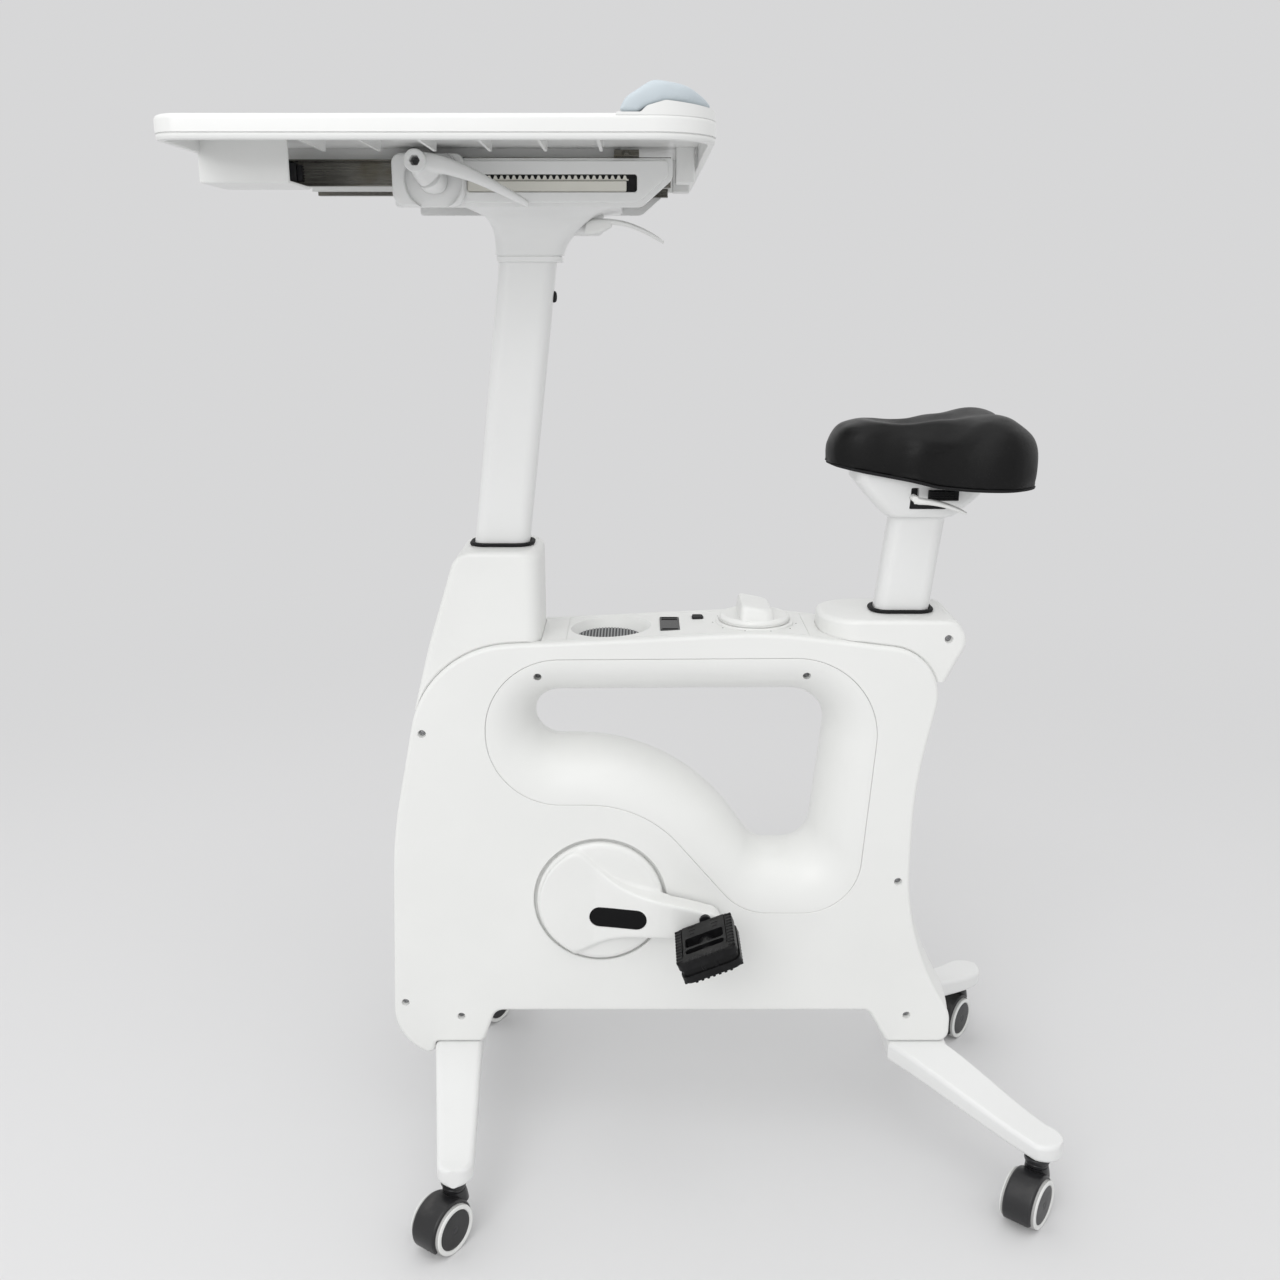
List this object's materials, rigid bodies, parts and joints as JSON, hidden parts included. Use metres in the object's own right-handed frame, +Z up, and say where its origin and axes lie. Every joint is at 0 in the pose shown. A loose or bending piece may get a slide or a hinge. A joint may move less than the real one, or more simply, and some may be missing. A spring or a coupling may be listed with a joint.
{
  "type": "desk exercise bike",
  "caption": "Pedal bike with a padded saddle and a sliding desktop on two leaning height-adjusted columns, a housing with a carrying opening and splayed legs on swivel casters.",
  "frame": {"origin": "on the floor, in the middle of the machine's outer box, between its near and far sides", "axes": "+Z up, +X from the desktop's far edge towards the saddle, +Y towards the far side"},
  "size_m": [0.9168, 0.646, 1.2267],
  "materials": {
    "white_plastic": "satin moulded",
    "desktop_plastic": "fine matte moulded",
    "white_paint": "smooth powder coat",
    "black_plastic": "fine grained",
    "black_rubber": "matte",
    "saddle_leather": "fine grained",
    "pad_foam": "soft matte foam skin",
    "bright_steel": "zinc plated",
    "dark_steel": "dark painted",
    "wheel_tread": "soft tread"
  },
  "bodies": {
    "root": {"base_beam": "dark_steel", "front_sleeve": "dark_steel", "rear_sleeve": "dark_steel", "shell_near": "white_plastic", "shell_far": "white_plastic", "handle_ring_near": "white_plastic", "handle_ring_far": "white_plastic", "top_panel": "white_plastic", "front_cover": "white_plastic", "rear_cover": "white_plastic", "front_collar": "black_rubber", "rear_collar": "black_rubber", "display_window": "black_plastic", "leg_front_near": "white_paint", "leg_front_far": "white_paint", "leg_rear_near": "white_paint", "leg_rear_far": "white_paint", "crank_bearing": "dark_steel", "flywheel_bracket": "dark_steel", "drive_belt": "black_rubber", "desk_gas_cylinder": "dark_steel", "seat_gas_cylinder": "dark_steel"},
    "crank": {"crank_axle": "bright_steel", "drive_pulley": "black_plastic", "crank_near": "white_plastic", "crank_far": "white_plastic", "crank_plug_near": "black_plastic", "crank_plug_far": "black_plastic"},
    "pedal_near": {"pedal_near": "black_plastic"},
    "pedal_far": {"pedal_far": "black_plastic"},
    "flywheel": {"flywheel": "dark_steel"},
    "magnet_arm": {"magnet_arm": "dark_steel"},
    "knob": {"resistance_knob": "white_plastic"},
    "button": {"reset_button": "black_plastic"},
    "desk_post": {"desk_column": "white_paint", "desk_gas_rod": "bright_steel", "desk_head": "white_paint", "bracket_near": "white_paint", "bracket_far": "white_paint", "slide_outer_near": "bright_steel", "slide_outer_far": "bright_steel"},
    "desk_lever": {"height_lever": "white_plastic"},
    "clamp": {"clamp_lever": "white_paint"},
    "desk_plate": {"desktop": "desktop_plastic", "slide_inner_near": "bright_steel", "slide_inner_far": "bright_steel", "wrist_pad": "pad_foam"},
    "seat_post": {"seat_column": "white_paint", "seat_gas_rod": "bright_steel", "seat_bracket": "white_paint", "saddle": "saddle_leather"},
    "seat_release": {"seat_lever": "white_plastic"},
    "caster_front_near": {"caster_front_near_fork": "black_plastic"},
    "caster_front_far": {"caster_front_far_fork": "black_plastic"},
    "caster_rear_near": {"caster_rear_near_fork": "black_plastic"},
    "caster_rear_far": {"caster_rear_far_fork": "black_plastic"},
    "wheels_front_near": {"caster_front_near_wheels": "wheel_tread"},
    "wheels_front_far": {"caster_front_far_wheels": "wheel_tread"},
    "wheels_rear_near": {"caster_rear_near_wheels": "wheel_tread"},
    "wheels_rear_far": {"caster_rear_far_wheels": "wheel_tread"}
  },
  "joints": [
    {"name": "crank_turn", "type": "hinge", "parent": "root", "child": "crank", "pos_m": [-0.08595, 0, 0.3355], "axis": [0, 1, 0], "continuous": true},
    {"name": "flywheel_turn", "type": "hinge", "parent": "root", "child": "flywheel", "pos_m": [0.13255, 0, 0.272], "axis": [0, 1, 0], "continuous": true},
    {"name": "pedal_near_turn", "type": "hinge", "parent": "crank", "child": "pedal_near", "pos_m": [0.04214, -0.144, 0.31477], "axis": [0, 1, 0], "continuous": true},
    {"name": "pedal_far_turn", "type": "hinge", "parent": "crank", "child": "pedal_far", "pos_m": [-0.21404, 0.144, 0.35623], "axis": [0, 1, 0], "continuous": true},
    {"name": "knob_turn", "type": "hinge", "parent": "root", "child": "knob", "pos_m": [0.09955, 0, 0.671], "axis": [0, 0, 1], "range_deg": [0, 245]},
    {"name": "magnet_arm_turn", "type": "hinge", "parent": "root", "child": "magnet_arm", "pos_m": [0.04655, 0, 0.212], "axis": [0, 1, 0], "range_deg": [0, 3]},
    {"name": "button_press", "type": "slide", "parent": "root", "child": "button", "axis": [0, 0, -1], "range_m": [0, 0.0015], "stiffness_N_per_m": 300, "springref_m": -0.001},
    {"name": "desk_height", "type": "slide", "parent": "root", "child": "desk_post", "axis": [0.1167, 0, 0.9932], "range_m": [-0.2, 0.02]},
    {"name": "desk_slide", "type": "slide", "parent": "desk_post", "child": "desk_plate", "axis": [1, 0, 0], "range_m": [0, 0.11]},
    {"name": "clamp_turn", "type": "hinge", "parent": "desk_post", "child": "clamp", "pos_m": [-0.25045, -0.085, 1.164], "axis": [0, 1, 0], "range_deg": [0, 60]},
    {"name": "desk_lever_lift", "type": "hinge", "parent": "desk_post", "child": "desk_lever", "pos_m": [-0.08945, 0, 1.121], "axis": [0, 1, 0], "range_deg": [-8, 0], "stiffness_Nm_per_rad": 0.5, "springref_deg": 8.59},
    {"name": "seat_height", "type": "slide", "parent": "root", "child": "seat_post", "axis": [0.1167, 0, 0.9932], "range_m": [-0.09, 0.1]},
    {"name": "seat_lever_lift", "type": "hinge", "parent": "seat_post", "child": "seat_release", "pos_m": [0.27455, -0.045, 0.826], "axis": [0, 1, 0], "range_deg": [-10, 0], "stiffness_Nm_per_rad": 0.5, "springref_deg": 8.59},
    {"name": "caster_front_near_swivel", "type": "hinge", "parent": "root", "child": "caster_front_near", "pos_m": [-0.25045, -0.239, 0.0752], "axis": [0, 0, 1], "continuous": true},
    {"name": "caster_front_far_swivel", "type": "hinge", "parent": "root", "child": "caster_front_far", "pos_m": [-0.25045, 0.239, 0.0752], "axis": [0, 0, 1], "continuous": true},
    {"name": "caster_rear_near_swivel", "type": "hinge", "parent": "root", "child": "caster_rear_near", "pos_m": [0.42955, -0.198, 0.0752], "axis": [0, 0, 1], "continuous": true},
    {"name": "caster_rear_far_swivel", "type": "hinge", "parent": "root", "child": "caster_rear_far", "pos_m": [0.42955, 0.198, 0.0752], "axis": [0, 0, 1], "continuous": true},
    {"name": "wheels_front_near_roll", "type": "hinge", "parent": "caster_front_near", "child": "wheels_front_near", "pos_m": [-0.26301, -0.25707, 0.029], "axis": [0.8212, -0.5707, 0], "continuous": true},
    {"name": "wheels_front_far_roll", "type": "hinge", "parent": "caster_front_far", "child": "wheels_front_far", "pos_m": [-0.26301, 0.22093, 0.029], "axis": [0.8212, -0.5707, 0], "continuous": true},
    {"name": "wheels_rear_near_roll", "type": "hinge", "parent": "caster_rear_near", "child": "wheels_rear_near", "pos_m": [0.41556, -0.21498, 0.029], "axis": [0.7716, -0.6361, 0], "continuous": true},
    {"name": "wheels_rear_far_roll", "type": "hinge", "parent": "caster_rear_far", "child": "wheels_rear_far", "pos_m": [0.41556, 0.18102, 0.029], "axis": [0.7716, -0.6361, 0], "continuous": true}
  ],
  "couplings": [
    {"joint": "flywheel_turn", "follows": "crank_turn", "ratio": 4},
    {"joint": "magnet_arm_turn", "follows": "knob_turn", "ratio": 0.012244}
  ]
}
